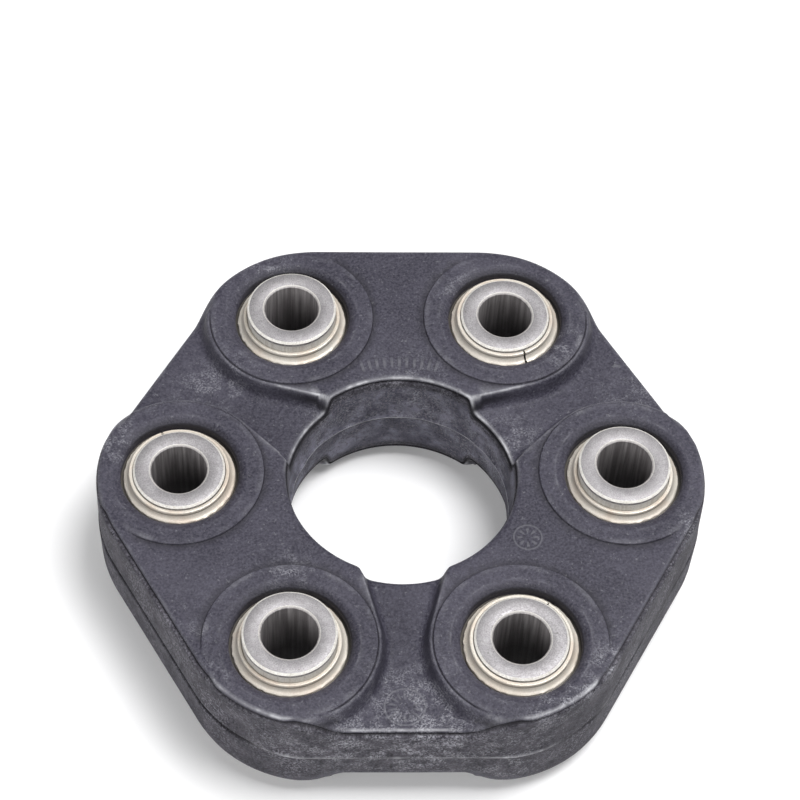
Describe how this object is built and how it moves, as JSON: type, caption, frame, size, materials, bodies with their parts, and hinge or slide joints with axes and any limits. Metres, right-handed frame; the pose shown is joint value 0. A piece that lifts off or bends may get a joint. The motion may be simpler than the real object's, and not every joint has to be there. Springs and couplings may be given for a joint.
{
  "type": "driveshaft coupling",
  "caption": "Six-sided rubber flex disc with cord-linked steel bushings round a central hole, alternate ones standing proud above and below to bolt between two shaft flanges.",
  "frame": {"origin": "centre of the disc, on the shaft's axis at the middle plane", "axes": "+Z along the shaft's axis, out of the side on which bushings 1, 3 and 5 stand proud; +X through bushing 1"},
  "size_m": [0.1326, 0.1228, 0.0352],
  "materials": {
    "rubber": "matt moulded natural rubber",
    "sleeve_steel": "satin turned steel",
    "collar_plate": "pale yellow zinc plating",
    "separator_steel": "plain rolled steel",
    "cord": "wound polyamide cord"
  },
  "bodies": {
    "root": {"bottom_collar_1": "collar_plate", "bottom_collar_2": "collar_plate", "bottom_collar_3": "collar_plate", "bottom_collar_4": "collar_plate", "bottom_collar_5": "collar_plate", "bottom_collar_6": "collar_plate", "lower_cord_pack_2_3": "cord", "lower_cord_pack_4_5": "cord", "lower_cord_pack_6_1": "cord", "lower_separator_1": "separator_steel", "lower_separator_2": "separator_steel", "lower_separator_3": "separator_steel", "lower_separator_4": "separator_steel", "lower_separator_5": "separator_steel", "lower_separator_6": "separator_steel", "middle_cord_pack_1_2": "cord", "middle_cord_pack_3_4": "cord", "middle_cord_pack_5_6": "cord", "rubber_body": "rubber", "sleeve_1": "sleeve_steel", "sleeve_2": "sleeve_steel", "sleeve_3": "sleeve_steel", "sleeve_4": "sleeve_steel", "sleeve_5": "sleeve_steel", "sleeve_6": "sleeve_steel", "top_collar_1": "collar_plate", "top_collar_2": "collar_plate", "top_collar_3": "collar_plate", "top_collar_4": "collar_plate", "top_collar_5": "collar_plate", "top_collar_6": "collar_plate", "upper_cord_pack_2_3": "cord", "upper_cord_pack_4_5": "cord", "upper_cord_pack_6_1": "cord", "upper_separator_1": "separator_steel", "upper_separator_2": "separator_steel", "upper_separator_3": "separator_steel", "upper_separator_4": "separator_steel", "upper_separator_5": "separator_steel", "upper_separator_6": "separator_steel"}
  },
  "joints": []
}
